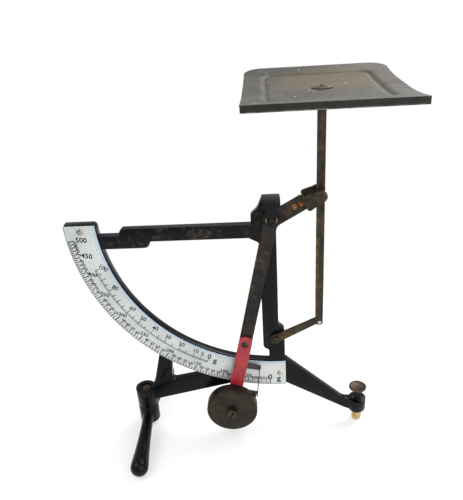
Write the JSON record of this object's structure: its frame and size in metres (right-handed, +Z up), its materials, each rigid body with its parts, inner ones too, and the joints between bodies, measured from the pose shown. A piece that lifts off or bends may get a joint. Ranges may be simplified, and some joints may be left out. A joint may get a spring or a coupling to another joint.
{
  "type": "quadrant letter balance",
  "caption": "Desktop pendulum balance: a bell-crank beam carries a pan on a guided stem and swings a weight and red pointer past a curved scale.",
  "frame": {"origin": "centre of the levelling foot's base, on the table", "axes": "+Z up, +X from the scale towards the levelling foot, -Y towards the reader in front of the scale"},
  "size_m": [0.2332, 0.1322, 0.2816],
  "materials": {
    "japan_black": "gloss",
    "enamel_white": "gloss",
    "bronzed_brass": "satin",
    "pan_brass": "satin",
    "bright_brass": "satin",
    "steel": "satin",
    "dark_steel": "satin",
    "red_paint": "satin",
    "black_paint": "satin",
    "weight_metal": "satin"
  },
  "bodies": {
    "stand": {"frame": "japan_black", "scale_plate": "enamel_white", "plate_rivets": "steel", "pivot_pin": "steel", "link_screw": "dark_steel", "swivel_pin": "steel"},
    "balance_beam": {"beam": "bronzed_brass", "pivot_bush": "bright_brass", "fork": "bronzed_brass", "fork_rivets": "bright_brass", "fork_pin": "steel", "pointer": "red_paint", "pointer_screw": "dark_steel", "carrier": "black_paint", "index_blade": "red_paint", "weight": "weight_metal", "weight_screw": "dark_steel", "weight_nut": "bright_brass"},
    "pan_stem": {"stem": "bronzed_brass", "guide_pin": "steel", "pan_collar": "bronzed_brass", "pan": "pan_brass", "pan_washer": "bright_brass"},
    "guide_link": {"link": "bronzed_brass"},
    "cross_foot": {"swivel_foot": "japan_black"},
    "level_screw": {"levelling_screw": "dark_steel", "levelling_foot": "bright_brass"}
  },
  "joints": [
    {"name": "beam_tilt", "type": "hinge", "parent": "stand", "child": "balance_beam", "pos_m": [-0.067, -0.0073, 0.1906], "axis": [0, 1, 0], "range_deg": [-4.1, 78.6]},
    {"name": "stem_pivot", "type": "hinge", "parent": "balance_beam", "child": "pan_stem", "pos_m": [-0.0336, -0.0073, 0.2081], "axis": [0, 1, 0], "range_deg": [-78.6, 4.1]},
    {"name": "link_tilt", "type": "hinge", "parent": "stand", "child": "guide_link", "pos_m": [-0.0664, -0.0044, 0.0866], "axis": [0, 1, 0], "range_deg": [-4.1, 78.6]},
    {"name": "foot_swivel", "type": "hinge", "parent": "stand", "child": "cross_foot", "pos_m": [-0.1769, 0, 0.0116], "axis": [0, 0, 1], "range_deg": [-75, 55]},
    {"name": "level_travel", "type": "slide", "parent": "stand", "child": "level_screw", "axis": [0, 0, 1], "range_m": [-0.002, 0.002]}
  ],
  "couplings": [
    {"joint": "stem_pivot", "follows": "beam_tilt", "ratio": -1},
    {"joint": "link_tilt", "follows": "beam_tilt", "ratio": 1}
  ]
}
